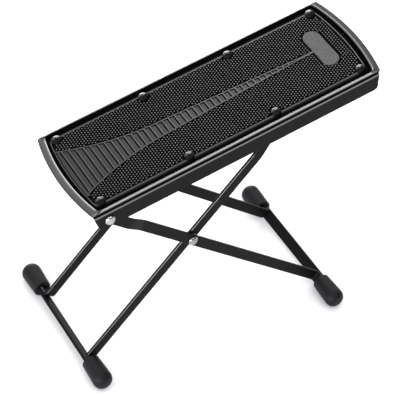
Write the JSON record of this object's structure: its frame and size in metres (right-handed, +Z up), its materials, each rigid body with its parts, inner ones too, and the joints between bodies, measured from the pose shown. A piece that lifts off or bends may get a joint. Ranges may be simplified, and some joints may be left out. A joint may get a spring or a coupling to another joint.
{
  "type": "guitar footrest",
  "caption": "Folding guitar footrest with a tilted rubber-matted steel deck on crossed flat-bar leg frames, notched racks for height, and rubber foot caps.",
  "frame": {"origin": "on the floor, under the middle of the footrest's outer box", "axes": "+X along the deck towards its high end, +Y across the deck from the front side to the rear side, +Z up"},
  "size_m": [0.2638, 0.1572, 0.2392],
  "materials": {
    "black_paint": "satin black powder coat",
    "mat_rubber": "matte moulded black rubber",
    "badge_grey": "fine-grained grey, left bare",
    "black_rivet": "glossy black",
    "bare_steel": "bright nickel-plated",
    "cap_rubber": "matte black rubber"
  },
  "bodies": {
    "frame_a": {"leg_a_front": "black_paint", "leg_a_rear": "black_paint", "crossbar_a": "black_paint", "deck_pivot_rivet_front": "bare_steel", "deck_pivot_rivet_rear": "bare_steel", "scissor_rivet_front": "bare_steel", "scissor_rivet_rear": "bare_steel", "scissor_washer_front": "bare_steel", "scissor_washer_rear": "bare_steel", "foot_cap_a_front": "cap_rubber", "foot_cap_a_rear": "cap_rubber"},
    "frame_b": {"leg_b_front": "black_paint", "leg_b_rear": "black_paint", "crossbar_b": "black_paint", "notch_rod": "bare_steel", "foot_cap_b_front": "cap_rubber", "foot_cap_b_rear": "cap_rubber"},
    "deck": {"deck_tray": "black_paint", "tread_mat": "mat_rubber", "badge_plate": "badge_grey", "mat_rivet_front_1": "black_rivet", "mat_rivet_front_2": "black_rivet", "mat_rivet_front_3": "black_rivet", "mat_rivet_front_4": "black_rivet", "mat_rivet_rear_1": "black_rivet", "mat_rivet_rear_2": "black_rivet", "mat_rivet_rear_3": "black_rivet", "mat_rivet_rear_4": "black_rivet", "notch_rack_front": "black_paint", "notch_rack_rear": "black_paint"}
  },
  "joints": [
    {"name": "scissor_fold", "type": "hinge", "parent": "frame_a", "child": "frame_b", "pos_m": [-0.03173, 0, 0.11208], "axis": [0, 1, 0], "range_deg": [0, 87.9]},
    {"name": "deck_pivot", "type": "hinge", "parent": "frame_a", "child": "deck", "pos_m": [-0.11131, 0, 0.17508], "axis": [0, 1, 0], "range_deg": [0, 49.3]}
  ],
  "couplings": [
    {"joint": "deck_pivot", "follows": "scissor_fold", "ratio": 0.56037}
  ]
}
